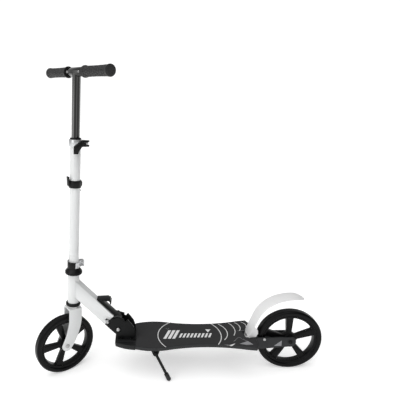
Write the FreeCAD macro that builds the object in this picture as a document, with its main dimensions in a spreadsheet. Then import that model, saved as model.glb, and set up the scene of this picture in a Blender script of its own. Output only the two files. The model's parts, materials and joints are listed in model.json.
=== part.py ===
"""Folding kick scooter with two 200 mm wheels, as a parametric document.

Row frame: +Z up, travel along -X, the rider's left is -Y, the ground is Z = 0.
Group frames hang on it: the chassis (origin under the rear axle), the fold pivot, the down tube
(Z along the tube), the head (Z along the steering axis) and the steering (the head's frame turned
to the left).
"""
import FreeCAD, Part
import math
import os
import Sketcher
from FreeCAD import Placement, Rotation, Vector

DIMENSIONS = {
    # wheels
    "wheel_radius": 100, "tyre_width": 28, "tread_flat": 13, "tyre_shoulder": 7, "rim_radius": 84,
    "rim_width": 22, "rim_inner": 76, "web_thickness": 14, "hub_radius": 18, "hub_width": 24,
    "window_outer": 76.5, "window_inner": 23.5, "spoke_root_angle": 18, "spoke_tip_angle": 27.5,
    "window_corner": 6, "bearing_radius": 11, "bearing_width": 7, "running_gap": 0.05,
    "axle_radius": 4, "axle_head_radius": 6.5, "axle_head_height": 3.5, "dropout_inner": 17.5,
    # chassis
    "rear_axle_x": 350.92, "wheelbase": 720, "deck_top": 118, "deck_thickness": 10.5, "deck_skin": 4,
    "deck_front_x": -484, "deck_front_half": 68, "bulge_end_x": -376, "bulge_end_half": 71,
    "bulge_rise": 8, "waist_end_x": -158, "waist_end_half": 71, "waist_depth": 12,
    "deck_rear_x": -116, "deck_rear_half": 78, "deck_rear_rise": 1, "deck_corner_x": -108,
    "deck_corner_half": 60, "notch_front_x": -142, "notch_half": 25.5, "tongue_front_x": -544,
    "tongue_half": 37, "tongue_thickness": 10, "rib_half": 7, "grip_thickness": 1, "grip_inset": 2,
    "nose_front_x": -549, "nose_front_half": 47, "nose_rear_half": 66, "nose_height": 14,
    "nose_rise": 4, "plate_thickness": 5, "foot_width": 13, "screw_radius": 2.4,
    "screw_head": 4.5, "screw_head_height": 2.6, "rear_plate_front_x": -206,
    "rear_plate_top": 115.5, "rear_plate_end": 17, "flange_thickness": 3,
    # fender and kickstand
    "fender_pivot_x": -121, "fender_pivot_z": 105.5, "fender_half": 24.6, "fender_thickness": 3,
    "fender_lug_half": 17.2, "fender_pin_radius": 3, "stand_pivot_x": -422, "stand_pivot_y": -57,
    "stand_pivot_z": 86, "stand_tilt": 11.7, "stand_back": 25.5, "stand_rod_radius": 4.6,
    "stand_hub_radius": 8.5, "stand_hub_half": 4.7, "stand_foot_radius": 7,
    "stand_foot_length": 18, "stand_pin_radius": 4, "stand_plate": 4,
    # fold mechanism
    "pivot_x": -538, "pivot_z": 150, "quadrant_radius": 40.2, "lock_angle": 138,
    "fold_angle": 85, "lock_pin_radius": 3.5, "lock_pin_reach": 44, "notch_bottom": 35,
    "notch_gap": 0.5, "pivot_pin_radius": 5, "bushing_radius": 8, "down_tube_angle": 47,
    "down_tube_width": 34, "down_tube_depth": 42, "down_tube_wall": 2, "lever_pivot_x": 27,
    "lever_pivot_z": 25, "lever_half": 14.8, "lever_pin_radius": 2.5, "ear_thickness": 1.8,
    # steering
    "rake": 5, "steer_at_rest": 35, "fork_offset": 28, "fork_width": 42, "crown_top": 126,
    "crown_thickness": 4, "crown_front": -22.5, "crown_rear": 21, "fork_bend": 3.5,
    "steerer_radius": 12.7, "steerer_bore": 10.7, "steerer_top": 300, "head_radius": 18.25,
    "head_bore": 16.25, "head_bottom": 143, "head_top": 243, "column_radius": 15.5,
    "column_bore": 14, "column_bottom": 262, "column_top": 660, "button_height": 507,
    "button_pitch": 50, "button_radius": 3.4, "stem_radius": 12, "stem_bore": 10.4,
    "stem_bottom": 482, "bar_height": 845, "bar_radius": 12.5, "bar_bore": 10.1, "bar_half": 50,
    "snap_reach": 35, "snap_radius": 3.1, "handle_radius": 10, "handle_bore": 8.4,
    "handle_inner": 8, "grip_radius": 14.4, "grip_flange": 16.3, "grip_inner": 50.6,
    "grip_outer": 183.5, "clamp_radius": 18.2, "collar_radius": 19.5, "cam_x": 24, "cam_y": -24,
    "cam_radius": 7.5,
}


class Size:
    """A length or an angle with the expression that gives it, so that arithmetic keeps both."""

    def __init__(self, value, text):
        self.value = float(value)
        self.text = text

    def __add__(self, other):
        other = size(other)
        return Size(self.value + other.value, f"({self.text} + {other.text})")

    def __sub__(self, other):
        other = size(other)
        return Size(self.value - other.value, f"({self.text} - {other.text})")

    def __mul__(self, other):
        other = size(other)
        return Size(self.value * other.value, f"({self.text} * {other.text})")

    def __truediv__(self, other):
        other = size(other)
        return Size(self.value / other.value, f"({self.text} / {other.text})")

    def __neg__(self):
        return size(0) - self

    def __radd__(self, other):
        return size(other) + self

    def __rsub__(self, other):
        return size(other) - self

    def __rmul__(self, other):
        return size(other) * self


def size(value):
    """A plain number as a Size."""
    return value if isinstance(value, Size) else Size(value, repr(float(value)))


def cosine(angle):
    angle = size(angle)
    return Size(math.cos(math.radians(angle.value)), f"cos({angle.text})")


def sine(angle):
    angle = size(angle)
    return Size(math.sin(math.radians(angle.value)), f"sin({angle.text})")


def polar(radius, angle, centre=(0, 0)):
    """The point at a radius and an angle in degrees from a centre."""
    return centre[0] + radius * cosine(angle), centre[1] + radius * sine(angle)


class Dimensions:
    """The sheet's aliases as attributes."""

    def __init__(self, document):
        sheet = document.addObject("Spreadsheet::Sheet", "Dims")
        for row, (alias, value) in enumerate(DIMENSIONS.items(), start=1):
            sheet.set(f"A{row}", alias.replace("_", " "))
            sheet.set(f"B{row}", str(value))
            sheet.setAlias(f"B{row}", alias)

    def __getattr__(self, alias):
        return Size(DIMENSIONS[alias], f"Dims.{alias}")


doc = FreeCAD.newDocument("kick_scooter")
d = Dimensions(doc)
doc.recompute()
nodes = []


# ---- building blocks ---------------------------------------------------------------------------

def bind(feature, name, value):
    """Give a property its value and the expression behind it."""
    value = size(value)
    setattr(feature, name, value.value)
    if "Dims." in value.text:
        feature.setExpression(name, value.text)


def new_body(name, frame):
    body = doc.addObject("PartDesign::Body", name)
    body.Placement = frame
    return body


def node(thing, label):
    """Mark a finished object as a sub-part."""
    thing.Label = label
    nodes.append(thing)


def group(name, frame, members):
    """One sub-part of several separate solids."""
    compound = doc.addObject("Part::Compound", name)
    compound.Links = members
    compound.Placement = frame
    node(compound, name)


def add_sketch(body, plane, loops, offset=0):
    """A fully constrained sketch on one of the body's origin planes.

    A loop is a list of corners (x, y), or (x, y, sagitta) where an arc leads to the corner and
    rises by the sagitta to the left of the way, or it is one circle as a tuple (x, y, radius).
    """
    sketch = body.newObject("Sketcher::SketchObject", "Sketch")
    face = [feature for feature in body.Origin.OriginFeatures if feature.Role == plane][0]
    sketch.AttachmentSupport = [(face, "")]
    sketch.MapMode = "FlatFace"
    offset = size(offset)
    sketch.AttachmentOffset = Placement(Vector(0, 0, offset.value), Rotation())
    if "Dims." in offset.text:
        sketch.setExpression("AttachmentOffset.Base.z", offset.text)

    def constrain(text, *constraint):
        index = sketch.addConstraint(Sketcher.Constraint(*constraint))
        if "Dims." in text:
            sketch.setExpression(f"Constraints[{index}]", text)

    def pin(edge, end, x, y):
        constrain(x.text, "DistanceX", -1, 1, edge, end, x.value)
        constrain(y.text, "DistanceY", -1, 1, edge, end, y.value)

    for loop in loops:
        if isinstance(loop, tuple):
            x, y, radius = (size(value) for value in loop)
            circle = Part.Circle(Vector(x.value, y.value, 0), Vector(0, 0, 1), radius.value)
            edge = sketch.addGeometry(circle, False)
            pin(edge, 3, x, y)
            constrain(radius.text, "Radius", edge, radius.value)
            continue
        corners = [tuple(size(value) for value in corner) for corner in loop]
        edges = []
        for index, corner in enumerate(corners):
            before = corners[index - 1]
            start = Vector(before[0].value, before[1].value, 0)
            end = Vector(corner[0].value, corner[1].value, 0)
            if len(corner) == 2:
                edge = sketch.addGeometry(Part.LineSegment(start, end), False)
                edges.append((edge, 1, 2))
                continue
            way = (end - start).normalize()
            top = (start + end) / 2 + Vector(-way.y, way.x, 0) * corner[2].value
            edge = sketch.addGeometry(Part.Arc(start, top, end), False)
            first = sketch.getPoint(edge, 1)
            forward = first.distanceToPoint(start) < first.distanceToPoint(end)
            edges.append((edge, 1, 2) if forward else (edge, 2, 1))
            dx = corner[0] - before[0]
            dy = corner[1] - before[1]
            radius = (dx * dx + dy * dy) / (8 * corner[2]) + corner[2] / 2
            constrain(f"abs({radius.text})", "Radius", edge, abs(radius.value))
        for index, (edge, start, end) in enumerate(edges):
            following = edges[(index + 1) % len(edges)]
            constrain("", "Coincident", edge, end, following[0], following[1])
            pin(edge, end, corners[index][0], corners[index][1])
    return sketch


def extrude(kind, body, plane, loops, length, offset, side, backwards):
    sketch = add_sketch(body, plane, loops, offset)
    feature = body.newObject(kind, kind.split("::")[1])
    feature.Profile = sketch
    bind(feature, "Length", length)
    feature.SideType = side
    feature.Reversed = backwards
    return feature


def pad(body, plane, loops, length, offset=0, side="Symmetric", backwards=False):
    return extrude("PartDesign::Pad", body, plane, loops, length, offset, side, backwards)


def pocket(body, plane, loops, length, offset=0, side="Symmetric", backwards=False):
    return extrude("PartDesign::Pocket", body, plane, loops, length, offset, side, backwards)


def upwards(body, loops, low, high):
    """Pad in the XY plane between two heights."""
    return pad(body, "XY_Plane", loops, high - size(low), low, "One side")


def across(body, loops, near, far, kind=pad):
    """Pad or pocket of a side view between two places along Y."""
    near = size(near)
    far = size(far)
    reach = far - near if far.value > near.value else near - far
    return kind(body, "XZ_Plane", loops, reach, -(near + far) / 2)


def turned(name, frame, profile, axis="Z", angle=360):
    """A body turned about its Z or Y axis from corners (radius, place along the axis)."""
    body = new_body(name, frame)
    turn(body, profile, axis, angle)
    return body


def turn(body, profile, axis="Z", angle=360):
    plane = {"Z": "XZ_Plane", "Y": "XY_Plane"}[axis]
    sketch = add_sketch(body, plane, [profile])
    feature = body.newObject("PartDesign::Revolution", "Revolution")
    feature.Profile = sketch
    feature.ReferenceAxis = (sketch, ["V_Axis"])
    feature.Angle = angle
    return feature


def ring(name, frame, bore, radius, low, high, axis="Z"):
    """A plain ring or tube."""
    profile = [(bore, low), (radius, low), (radius, high), (bore, high)]
    return turned(name, frame, profile, axis)


def round_edges(body, radius, chosen):
    """Fillet the edges of the body's last feature that chosen picks."""
    doc.recompute()
    tip = body.Tip
    names = [f"Edge{index}" for index, edge in enumerate(tip.Shape.Edges, start=1) if chosen(edge)]
    feature = body.newObject("PartDesign::Fillet", "Fillet")
    feature.Base = (tip, names)
    bind(feature, "Radius", radius)


def runs_along(edge, axis):
    """Whether an edge is a straight one along X (0), Y (1) or Z (2)."""
    if len(edge.Vertexes) < 2 or edge.Curve.TypeId != "Part::GeomLine":
        return False
    way = edge.Vertexes[1].Point - edge.Vertexes[0].Point
    return abs(way[axis]) > 0.999 * way.Length


def at(x=0, y=0, z=0, rotation=None):
    point = Vector(*(size(value).value for value in (x, y, z)))
    return Placement(point, rotation or Rotation())


def about(axis, degrees):
    ways = {"X": Vector(1, 0, 0), "Y": Vector(0, 1, 0), "Z": Vector(0, 0, 1)}
    return Rotation(ways[axis], size(degrees).value)


def box(low_x, low_y, high_x, high_y):
    return [(low_x, low_y), (high_x, low_y), (high_x, high_y), (low_x, high_y)]


def hexagon(flat_radius):
    """Six corners of a hexagon whose flats lie at the radius."""
    corner = size(flat_radius) / cosine(30)
    return [polar(corner, 60 * step) for step in range(6)]


def mirrored(points):
    """The same corners on the other side of the X axis, walked back, with their arcs."""
    back = []
    for index in range(len(points) - 1, -1, -1):
        sagitta = points[index + 1][2:] if index + 1 < len(points) else ()
        back.append((points[index][0], -points[index][1], *sagitta))
    return back


# ---- frames ------------------------------------------------------------------------------------

foot_x = -d.wheelbase + d.fork_offset * cosine(d.rake)
foot_z = d.wheel_radius - d.fork_offset * sine(d.rake)
plate_outer = d.dropout_inner + d.plate_thickness
deck_under = d.deck_top - d.deck_thickness

CHASSIS = at(d.rear_axle_x)
REAR_WHEEL = CHASSIS * at(z=d.wheel_radius)
FENDER = CHASSIS * at(d.fender_pivot_x, 0, d.fender_pivot_z)
STAND = CHASSIS * at(d.stand_pivot_x, d.stand_pivot_y, d.stand_pivot_z,
                     about("X", -d.stand_tilt))
FOLD = CHASSIS * at(d.pivot_x, 0, d.pivot_z)
DOWN_TUBE = FOLD * at(rotation=about("Y", d.down_tube_angle - 90))
HEAD = CHASSIS * at(foot_x, 0, foot_z, about("Y", d.rake))
STEER = HEAD * at(rotation=about("Z", d.steer_at_rest))
FRONT_WHEEL = STEER * at(-d.fork_offset)


# ---- wheels and axles --------------------------------------------------------------------------

def wheel(prefix, frame, first_spoke):
    """Moulded five-spoke wheel, its tyre and its two bearings, about the frame's Y axis."""
    half = d.tyre_width / 2
    flat = d.tread_flat / 2
    seat = d.rim_width / 2
    web = d.web_thickness / 2
    hub = d.hub_width / 2
    pocket_floor = hub - d.bearing_width
    shoulder = d.wheel_radius - d.tyre_shoulder
    bead = d.rim_radius + 3
    tyre = turned(f"{prefix}_tyre", frame, [
        (d.rim_radius, -seat), (bead, -half), (shoulder, -half), (d.wheel_radius, -flat, -1.8),
        (d.wheel_radius, flat), (shoulder, half, -1.8), (bead, half), (d.rim_radius, seat)], "Y")
    node(tyre, f"{prefix}_tyre")

    inside = d.bearing_radius - 2
    rim = turned(f"{prefix}_rim", frame * at(rotation=about("Y", -first_spoke)), [
        (inside, -pocket_floor), (d.bearing_radius, -pocket_floor), (d.bearing_radius, -hub),
        (d.hub_radius, -hub), (d.hub_radius, -web), (d.rim_inner, -web), (d.rim_inner, -seat),
        (d.rim_radius, -seat), (d.rim_radius, seat), (d.rim_inner, seat), (d.rim_inner, web),
        (d.hub_radius, web), (d.hub_radius, hub), (d.bearing_radius, hub),
        (d.bearing_radius, pocket_floor), (inside, pocket_floor)], "Y")
    middle = 36
    root = d.spoke_root_angle
    tip = d.spoke_tip_angle
    window = [
        (*polar(d.window_inner, middle - root), d.window_inner * (1 - cosine(root))),
        polar(d.window_outer, middle - tip),
        (*polar(d.window_outer, middle + tip), -d.window_outer * (1 - cosine(tip))),
        polar(d.window_inner, middle + root)]
    cut = pocket(rim, "XZ_Plane", [window], d.tyre_width)
    pattern = rim.newObject("PartDesign::PolarPattern", "Spokes")
    pattern.Originals = [cut]
    pattern.Axis = (rim.Origin.OriginFeatures[1], [""])
    pattern.Angle = 360
    pattern.Occurrences = 5
    rim.Tip = pattern
    round_edges(rim, d.window_corner, lambda edge: runs_along(edge, 1)
                and abs(edge.Length - d.web_thickness.value) < 0.1)
    node(rim, f"{prefix}_rim")

    bore = d.axle_radius + d.running_gap
    group(f"{prefix}_bearings", frame, [
        ring(f"{prefix}_bearing", at(), bore, d.bearing_radius, sign * hub, sign * pocket_floor, "Y")
        for sign in (-1, 1)])


def axle_set(prefix, frame, outer):
    """Through bolt with its nut and the two spacers that centre the wheel."""
    head = d.axle_head_radius
    end = outer + d.axle_head_height
    bolt = turned(f"{prefix}_axle_bolt", frame, [
        (0, -end), (head - 2.5, -end), (head, 1.6 - end, -0.4), (head, -outer),
        (d.axle_radius, -outer), (d.axle_radius, outer + 7), (d.axle_radius - 1, outer + 8),
        (0, outer + 8)], "Y")
    pocket(bolt, "XZ_Plane", [hexagon(2.3)], 2, end, "One side")
    node(bolt, f"{prefix}_axle_bolt")

    nut = new_body(f"{prefix}_axle_nut", frame)
    across(nut, [hexagon(6.5), (0, 0, d.axle_radius)], outer, outer + 6)
    node(nut, f"{prefix}_axle_nut")

    gap = d.hub_width / 2 + 0.3
    group(f"{prefix}_spacers", frame, [
        ring(f"{prefix}_spacer", at(), d.axle_radius, 7, sign * gap, sign * d.dropout_inner, "Y")
        for sign in (-1, 1)])


# ---- chassis -----------------------------------------------------------------------------------

FOOT_SCREWS = (12, 42)
FLANGE_SCREWS = (-192, -156)
STAND_SCREWS = (-11, 11)
foot_screw_y = plate_outer + 7.5
flange_screw_y = plate_outer + 7.5
stand_screw_y = 18.5


def deck_side(inset):
    """The deck's edge on one side from the front to the rear: bulge, waist and flare."""
    return [
        (d.deck_front_x + inset, d.deck_front_half - inset),
        (d.bulge_end_x, d.bulge_end_half - inset, d.bulge_rise),
        (d.waist_end_x, d.waist_end_half - inset, -d.waist_depth),
        (d.deck_rear_x, d.deck_rear_half - inset, d.deck_rear_rise),
        (d.deck_corner_x - inset, d.deck_corner_half - inset),
        (d.deck_corner_x - inset, d.notch_half + inset),
        (d.notch_front_x - inset, d.notch_half + inset)]


def deck():
    body = new_body("deck", CHASSIS)
    side = deck_side(0)
    upwards(body, [side + mirrored(side)], deck_under, d.deck_top)
    tongue = box(d.tongue_front_x, -d.tongue_half, d.deck_front_x + 1, d.tongue_half)
    upwards(body, [tongue], d.deck_top - d.tongue_thickness, d.deck_top)
    left = -d.rib_half
    channels = [box(-470, d.rib_half, -345, 58), box(-338, d.rib_half, -212, 48),
                box(-470, -45, -448, left), box(-394, -58, -345, left), box(-338, -48, -212, left)]
    pocket(body, "XY_Plane", channels, d.deck_thickness - d.deck_skin, deck_under, "One side", True)
    upper = [(d.pivot_x + along, sign * foot_screw_y, d.screw_radius)
             for sign in (-1, 1) for along in FOOT_SCREWS]
    pocket(body, "XY_Plane", upper, 9.5, d.deck_top, "One side")
    lower = [(along, sign * flange_screw_y, d.screw_radius)
             for sign in (-1, 1) for along in FLANGE_SCREWS]
    lower += [(d.stand_pivot_x + along, d.stand_pivot_y + stand_screw_y, d.screw_radius)
              for along in STAND_SCREWS]
    pocket(body, "XY_Plane", lower, 9.5, deck_under, "One side", True)
    node(body, "deck")

    cover = new_body("grip_tape", CHASSIS)
    side = deck_side(d.grip_inset)
    upwards(cover, [side + mirrored(side)], d.deck_top, d.deck_top + d.grip_thickness)
    node(cover, "grip_tape")


def deck_nose():
    """Plastic cap round the deck's tongue."""
    body = new_body("deck_nose", CHASSIS)
    rear = d.deck_front_x - 0.2
    front = d.nose_front_x
    half = d.nose_front_half
    outline = [(rear, -d.nose_rear_half, -d.nose_rise), (rear, d.nose_rear_half),
               (front + 6, half, -d.nose_rise), (front, half - 9, -1.5), (front, 9 - half),
               (front + 6, -half, -1.5)]
    upwards(body, [outline], d.deck_top - d.nose_height, d.deck_top)
    slot_half = d.tongue_half + 0.2
    slot = box(d.tongue_front_x - 0.2, -slot_half, rear + 5, slot_half)
    pocket(body, "XY_Plane", [slot], d.tongue_thickness + 0.2, d.deck_top, "One side")
    top = d.deck_top.value - 0.1

    def outer_rim(edge):
        middle = edge.BoundBox.Center
        side = abs(middle.y) > slot_half.value + 1 and not runs_along(edge, 1)
        return edge.BoundBox.ZMin > top and (side or middle.x < front.value + 1)

    round_edges(body, 3, outer_rim)
    node(body, "deck_nose")


def fold_plate(name, side):
    """Fold plate with two lock notches, and the foot that holds it on the deck."""
    body = new_body(name, FOLD)
    ground = d.deck_top - d.pivot_z
    radius = d.quadrant_radius
    folded = d.lock_angle - d.fold_angle
    swept = d.fold_angle / 2 - 2
    outline = [
        (55, ground), (55, -10), (49, 10), polar(46.5, 28), polar(46.5, folded - 8),
        polar(radius, folded + 2), (*polar(radius, d.lock_angle - 2), -radius * (1 - cosine(swept))),
        polar(43, d.lock_angle + 9), (-34, 13), (-5, -19), (-5, ground)]
    inner = side * d.dropout_inner
    outer = side * plate_outer
    across(body, [outline, (0, 0, d.pivot_pin_radius)], inner, outer)
    half = d.lock_pin_radius + d.notch_gap
    for angle in (d.lock_angle, folded):
        notch = []
        for reach, sign in ((d.notch_bottom, -1), (60, -1), (60, 1), (d.notch_bottom, 1)):
            start = polar(size(reach), angle)
            notch.append(polar(sign * half, angle + 90, start))
        across(body, [notch], inner - side, outer + side, pocket)
    foot_outer = side * (plate_outer + d.foot_width)
    upwards(body, [box(-4, outer - side, 55, foot_outer)], ground, ground + d.plate_thickness)
    holes = [(along, side * foot_screw_y, d.screw_radius) for along in FOOT_SCREWS]
    pocket(body, "XY_Plane", holes, 20, ground + 8, "One side")
    node(body, name)


def screw(frame, length):
    """Button-head screw along its Z axis: the head above the origin, the shank below."""
    head = d.screw_head
    tall = d.screw_head_height
    return turned("screw", frame, [
        (0, tall), (head * 0.45, tall), (head, tall * 0.35, 0.5), (head, 0), (d.screw_radius, 0),
        (d.screw_radius, -size(length)), (0, -size(length))])


def deck_screws():
    """The screws of the fold plates, rear plates and kickstand, and two in the rear plates' sides."""
    screws = []
    face_down = about("X", 180)
    for side in (-1, 1):
        for along in FOOT_SCREWS:
            place = at(d.pivot_x + along, side * foot_screw_y, d.deck_top + d.plate_thickness)
            screws.append(screw(place, d.plate_thickness + 9))
        for along in FLANGE_SCREWS:
            place = at(along, side * flange_screw_y, deck_under - d.flange_thickness, face_down)
            screws.append(screw(place, d.flange_thickness + 9))
        outward = about("X", -90 * side)
        screws.append(screw(at(-80, side * plate_outer, 110, outward), d.plate_thickness - 0.4))
    for along in STAND_SCREWS:
        place = at(d.stand_pivot_x + along, d.stand_pivot_y + stand_screw_y,
                   deck_under - d.flange_thickness, face_down)
        screws.append(screw(place, d.flange_thickness + 9))
    group("deck_screws", CHASSIS, screws)


def headed_pin(name, frame, radius, near, far, head, head_height):
    """Pin along Y with a domed head outside each end."""
    low = size(near) - head_height
    high = size(far) + head_height
    edge = head_height * 0.6
    return turned(name, frame, [
        (0, low), (head * 0.5, low), (head, low + edge, -0.4), (head, near), (radius, near),
        (radius, far), (head, far), (head, high - edge), (head * 0.5, high, -0.4), (0, high)], "Y")


def rear_plate(name, side):
    """Drop-out plate under the deck's rear end, with a flange against the deck."""
    body = new_body(name, CHASSIS)
    front = d.rear_plate_front_x
    rise = d.notch_front_x + 1
    end = d.rear_plate_end
    axle = (0, d.wheel_radius)
    outline = [
        (front, deck_under), (front, deck_under - 7), (-150, 79, -2), (-80, 77), (-40, 80.5),
        polar(end, -105, axle), (*polar(end, 66, axle), -end * (1 - cosine(85.5))),
        (rise, d.rear_plate_top), (rise, deck_under)]
    holes = [(0, d.wheel_radius, d.axle_radius), (-80, 110, d.screw_radius),
             (d.fender_pivot_x, d.fender_pivot_z, d.fender_pin_radius)]
    across(body, [outline] + holes, side * d.dropout_inner, side * plate_outer)
    flange = box(front, side * (plate_outer - 1), d.notch_front_x, side * (plate_outer + 15))
    upwards(body, [flange], deck_under - d.flange_thickness, deck_under)
    screws = [(along, side * flange_screw_y, d.screw_radius) for along in FLANGE_SCREWS]
    pocket(body, "XY_Plane", screws, 12, deck_under + 2, "One side")
    node(body, name)


def fender_brake():
    """Curved fender that is pressed onto the rear tyre, hinged between the rear plates."""
    body = new_body("fender_brake", FENDER)
    thick = d.fender_thickness
    half = d.fender_half
    strip = [
        (4, 43.5), (23, 87, 0.6), (98, 138, 10), (133, 141.5, 1.2), (160, 134.5, 1.6),
        (159.2, 134.5 - thick), (133, 141.5 - thick, -1.5), (98, 138 - thick, -1.2),
        (25.8, 85.6, -9.3), (7, 42, -0.5), (-5.4, 11.5), (-8.4, 11.5)]
    across(body, [strip], -half, half)
    lug = [(-13, -0.5), (-9.5, -7.5), (5, -7.5), (8, -2), (7, 8), (0, 24), (-3.5, 24)]
    pin_hole = (0, 0, d.fender_pin_radius + d.running_gap)
    across(body, [lug, pin_hole], -d.fender_lug_half, d.fender_lug_half)
    cheek = [(-8.4, 11.5), (14, 14.5), (20, 26), (19, 38), (7.5, 52)]
    for side in (-1, 1):
        across(body, [cheek], side * (plate_outer + 0.3), side * half)
        tip = [(128, side * 26), (170, side * 26), (163, side * 3), (128, side * half, -side * 5)]
        pocket(body, "XY_Plane", [tip], 40, 150, "One side")
    across(body, [box(-15, -9, 12, 10)], -9, 9, pocket)
    node(body, "fender_brake")

    pin = turned("fender_pivot_pin", FENDER, [
        (0, -plate_outer), (d.fender_pin_radius, -plate_outer), (d.fender_pin_radius, plate_outer),
        (0, plate_outer)], "Y")
    node(pin, "fender_pivot_pin")
    spring = ring("fender_spring", FENDER, d.fender_pin_radius + 0.3, 6.2, -8.5, 8.5, "Y")
    node(spring, "fender_spring")


def kickstand():
    """Side stand: a bent bracket, a pin, a rod with a flat eye and a round rubber foot."""
    hub = d.stand_hub_half
    near = hub + 0.3
    far = near + d.stand_plate
    top = deck_under - d.stand_pivot_z
    low = top - d.flange_thickness
    lean = sine(d.stand_tilt)
    up = cosine(d.stand_tilt)

    def level(y, z):
        """A place beside the pivot in the row's Y and Z, as the tilted frame sees it."""
        return y * up - z * lean, y * lean + z * up

    bracket = new_body("bracket_blank", Placement())
    section = [(near, -9), (far, -9), (far, (low + far * lean) / up), level(24, low),
               level(24, top), level(-8, top), level(-8, low), (near, (low + near * lean) / up)]
    pad(bracket, "YZ_Plane", [section], 32)
    corners = [[(sign * 17, -10), (sign * 7, -10), (sign * 17, 15)] for sign in (-1, 1)]
    across(bracket, corners + [(0, 0, d.stand_pin_radius)], near - 0.3, far + 0.3, pocket)
    inverse = STAND.inverse() * CHASSIS
    cutters = []
    for along in STAND_SCREWS:
        cutter = doc.addObject("Part::Cylinder", "screw_hole")
        bind(cutter, "Radius", d.screw_radius)
        bind(cutter, "Height", d.flange_thickness + 2)
        cutter.Placement = inverse * at(d.stand_pivot_x + along, d.stand_pivot_y + stand_screw_y,
                                        deck_under - d.flange_thickness - 1)
        cutters.append(cutter)
    holes = doc.addObject("Part::Compound", "screw_holes")
    holes.Links = cutters
    cut = doc.addObject("Part::Cut", "kickstand_bracket")
    cut.Base = bracket
    cut.Tool = holes
    cut.Placement = STAND
    node(cut, "kickstand_bracket")

    node(headed_pin("kickstand_pin", STAND, d.stand_pin_radius, -(hub + 0.2), far, size(6.3), 2.5),
         "kickstand_pin")

    leg_frame = STAND * at(rotation=about("Y", -d.stand_back))
    reach = (d.stand_pivot_z - d.stand_foot_radius) / (cosine(d.stand_back) * up)
    leg = new_body("kickstand_leg", leg_frame)
    eye = [(0, 0, d.stand_hub_radius), (0, 0, d.stand_pin_radius + d.running_gap)]
    across(leg, eye, -hub, hub)
    upwards(leg, [(0, 0, d.stand_rod_radius)], -reach, -6)
    node(leg, "kickstand_leg")

    radius = d.stand_foot_radius
    foot = turned("kickstand_foot", leg_frame, [
        (0, -reach - radius), (radius, -reach, -radius * (1 - cosine(45))),
        (radius, d.stand_foot_length - reach), (d.stand_rod_radius, d.stand_foot_length - reach),
        (d.stand_rod_radius, -reach), (0, -reach)])
    node(foot, "kickstand_foot")


# ---- fold mechanism ----------------------------------------------------------------------------

def down_tube():
    """Box tube from the fold pivot to the head tube, coped to it, with ears for the lever."""
    half = d.down_tube_depth / 2
    wide = d.down_tube_width / 2
    wall = d.down_tube_wall
    between = 90 - d.down_tube_angle + d.rake
    reach = ((d.pivot_x - foot_x) * cosine(d.rake)
             - (d.pivot_z - foot_z) * sine(d.rake)) / sine(between)
    slant = half * cosine(between) / sine(between)
    body = new_body("down_tube_blank", Placement())
    quarter = -half * (1 - cosine(45))
    outline = [(half, 0, quarter), (half, reach + slant), (-half, reach - slant), (-half, 0),
               (0, -half, quarter)]
    across(body, [outline], -wide, wide)
    hollow = box(wall - half, wall - wide, half - wall, wide - wall)
    pocket(body, "XY_Plane", [hollow], 2 * reach, 0)
    ear = [(half - 1, 12), (34, 17), (34, 33), (half - 1, 42)]
    for side in (-1, 1):
        across(body, [ear], side * (wide - d.ear_thickness), side * wide)
    lock = d.lock_angle + d.down_tube_angle - 90
    slot = []
    for extra, sign in ((-4.5, -1), (7.5, -1), (7.5, 1), (-4.5, 1)):
        start = polar(d.lock_pin_reach + extra, lock)
        slot.append(polar(sign * (d.lock_pin_radius + 0.4), lock + 90, start))
    pivots = [(0, 0, d.bushing_radius), (d.lever_pivot_x, d.lever_pivot_z, d.lever_pin_radius)]
    across(body, [slot] + pivots, -wide - 1, wide + 1, pocket)

    head = doc.addObject("Part::Cylinder", "head_tube_cope")
    bind(head, "Radius", d.head_radius)
    bind(head, "Height", d.head_top)
    head.Placement = DOWN_TUBE.inverse() * HEAD * at(z=20)
    tube = doc.addObject("Part::Cut", "down_tube")
    tube.Base = body
    tube.Tool = head
    tube.Placement = DOWN_TUBE
    node(tube, "down_tube")


def lock_parts():
    """The spring-loaded lock pin across the down tube, its nuts and its two pull springs."""
    reach = d.lock_pin_reach
    pin_frame = FOLD * at(reach * cosine(d.lock_angle), 0, reach * sine(d.lock_angle))
    end = plate_outer + 4.5
    pin = turned("lock_pin", pin_frame, [
        (0, -end), (d.lock_pin_radius, -end), (d.lock_pin_radius, end), (0, end)], "Y")
    node(pin, "lock_pin")
    inner = plate_outer + 0.5
    nuts = []
    for sign in (-1, 1):
        nuts.append(turned("lock_nut", at(), [
            (d.lock_pin_radius, sign * inner), (6, sign * inner), (6, sign * (inner + 3)),
            (4.6, sign * (inner + 6)), (2, sign * (inner + 7.5)), (0, sign * (inner + 7.5)),
            (0, sign * end), (d.lock_pin_radius, sign * end)], "Y"))
    group("lock_nuts", pin_frame, nuts)

    spring_frame = FOLD * at(rotation=about("Y", 90 - d.lock_angle))
    coils = [ring("lock_spring", at(y=8 * sign), 1.6, 2.8, d.bushing_radius + 0.2,
                  reach - d.lock_pin_radius - 0.3) for sign in (-1, 1)]
    group("lock_springs", spring_frame, coils)


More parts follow.
